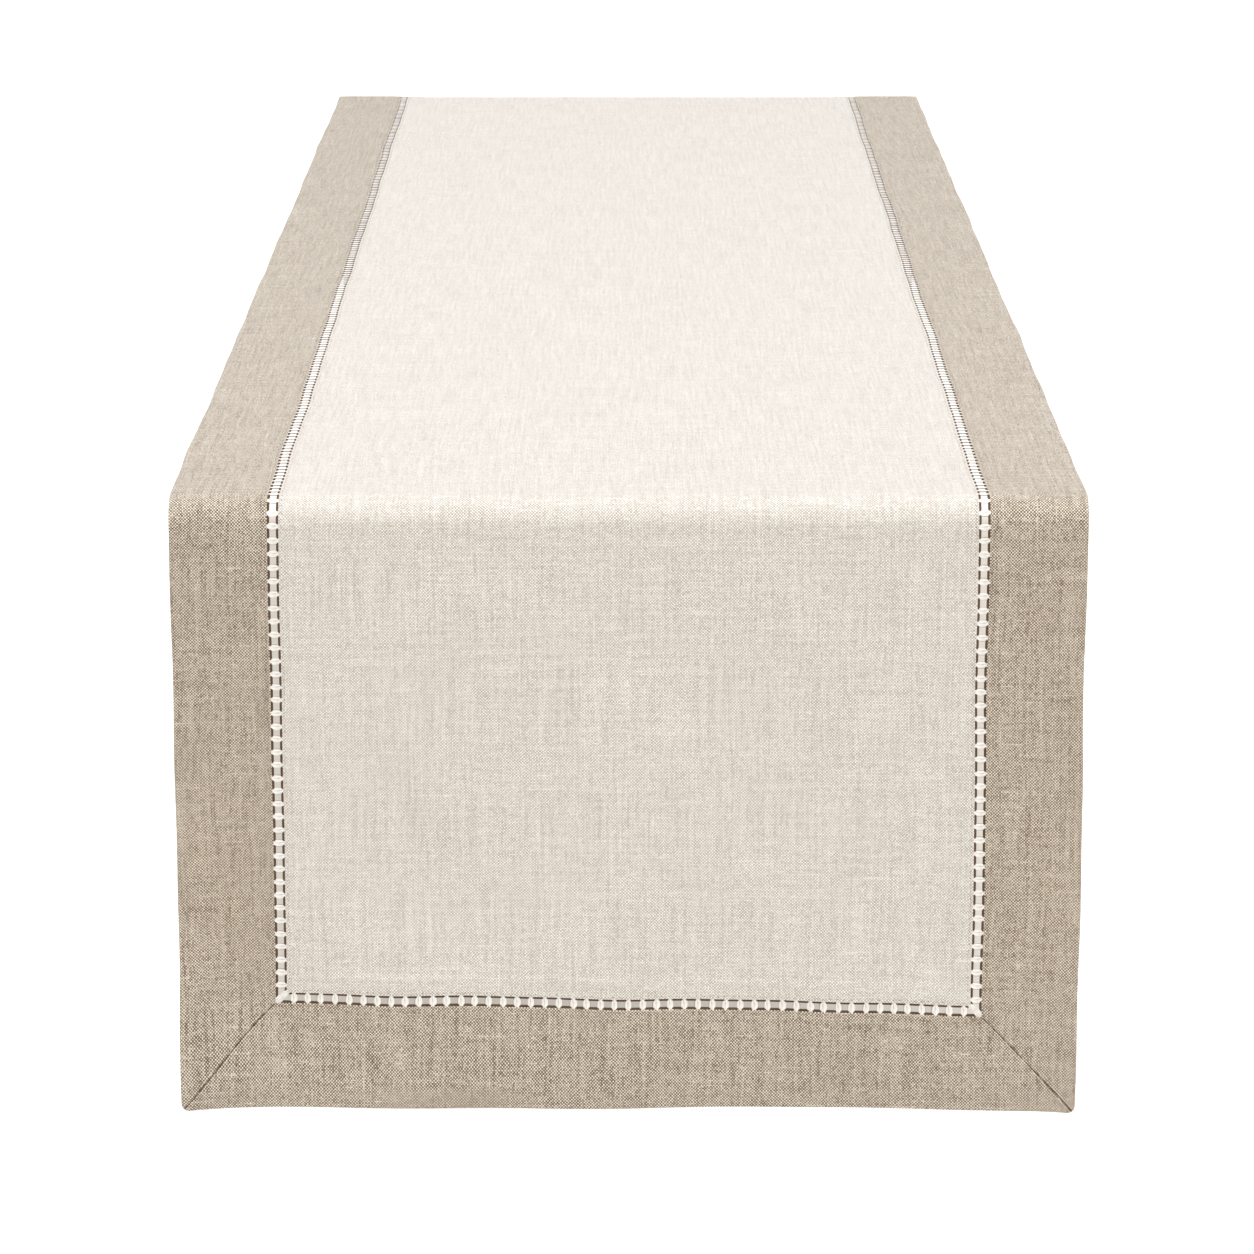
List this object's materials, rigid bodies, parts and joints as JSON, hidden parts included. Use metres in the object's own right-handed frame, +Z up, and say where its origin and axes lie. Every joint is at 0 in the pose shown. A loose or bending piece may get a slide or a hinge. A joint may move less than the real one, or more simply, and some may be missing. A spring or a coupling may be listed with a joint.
{
  "type": "table runner",
  "caption": "Hemstitched linen table runner with an ivory panel, a mitred flax border and open ladder stitching, draped so that both ends hang over the table.",
  "frame": {"origin": "centre of the runner's underside on the tabletop; the tabletop is the plane Z = 0", "axes": "+X across the runner to the right as seen from the front, +Y along it to its rear end, +Z up from the tabletop; the drops hang down at -Y and +Y"},
  "size_m": [0.4064, 1.2678, 0.2873],
  "materials": {
    "ivory_linen": "matte",
    "flax_linen": "matte",
    "white_thread": "satin",
    "ivory_thread": "satin",
    "flax_thread": "satin",
    "seam_thread": "matte"
  },
  "bodies": {
    "tabletop_span": {"front_bend_left_border": "flax_linen", "front_bend_left_ladder": "white_thread", "front_bend_panel": "ivory_linen", "front_bend_right_border": "flax_linen", "front_bend_right_ladder": "white_thread", "front_bend_stitching": "flax_thread", "rear_bend_left_border": "flax_linen", "rear_bend_left_ladder": "white_thread", "rear_bend_panel": "ivory_linen", "rear_bend_right_border": "flax_linen", "rear_bend_right_ladder": "white_thread", "rear_bend_stitching": "flax_thread", "top_left_border": "flax_linen", "top_left_border_stitching": "flax_thread", "top_left_ladder": "white_thread", "top_left_panel_stitching": "ivory_thread", "top_panel": "ivory_linen", "top_right_border": "flax_linen", "top_right_border_stitching": "flax_thread", "top_right_ladder": "white_thread", "top_right_panel_stitching": "ivory_thread"},
    "front_drop": {"front_drop_end_border": "flax_linen", "front_drop_end_border_stitching": "flax_thread", "front_drop_end_ladder": "white_thread", "front_drop_end_panel_stitching": "ivory_thread", "front_drop_left_border": "flax_linen", "front_drop_left_border_stitching": "flax_thread", "front_drop_left_corner_bar": "white_thread", "front_drop_left_ladder": "white_thread", "front_drop_left_mitre_seam": "seam_thread", "front_drop_left_panel_stitching": "ivory_thread", "front_drop_panel": "ivory_linen", "front_drop_right_border": "flax_linen", "front_drop_right_border_stitching": "flax_thread", "front_drop_right_corner_bar": "white_thread", "front_drop_right_ladder": "white_thread", "front_drop_right_mitre_seam": "seam_thread", "front_drop_right_panel_stitching": "ivory_thread"},
    "rear_drop": {"rear_drop_end_border": "flax_linen", "rear_drop_end_border_stitching": "flax_thread", "rear_drop_end_ladder": "white_thread", "rear_drop_end_panel_stitching": "ivory_thread", "rear_drop_left_border": "flax_linen", "rear_drop_left_border_stitching": "flax_thread", "rear_drop_left_corner_bar": "white_thread", "rear_drop_left_ladder": "white_thread", "rear_drop_left_mitre_seam": "seam_thread", "rear_drop_left_panel_stitching": "ivory_thread", "rear_drop_panel": "ivory_linen", "rear_drop_right_border": "flax_linen", "rear_drop_right_border_stitching": "flax_thread", "rear_drop_right_corner_bar": "white_thread", "rear_drop_right_ladder": "white_thread", "rear_drop_right_mitre_seam": "seam_thread", "rear_drop_right_panel_stitching": "ivory_thread"}
  },
  "joints": [
    {"name": "front_drop_lift", "type": "hinge", "parent": "tabletop_span", "child": "front_drop", "pos_m": [0, -0.63048, -0.00208], "axis": [-1, 0, 0], "range_deg": [0, 90], "deforming": ["front_bend_left_border", "front_bend_left_ladder", "front_bend_panel", "front_bend_right_border", "front_bend_right_ladder", "front_bend_stitching"]},
    {"name": "rear_drop_lift", "type": "hinge", "parent": "tabletop_span", "child": "rear_drop", "pos_m": [0, 0.63048, -0.00208], "axis": [1, 0, 0], "range_deg": [0, 90], "deforming": ["rear_bend_left_border", "rear_bend_left_ladder", "rear_bend_panel", "rear_bend_right_border", "rear_bend_right_ladder", "rear_bend_stitching"]}
  ]
}
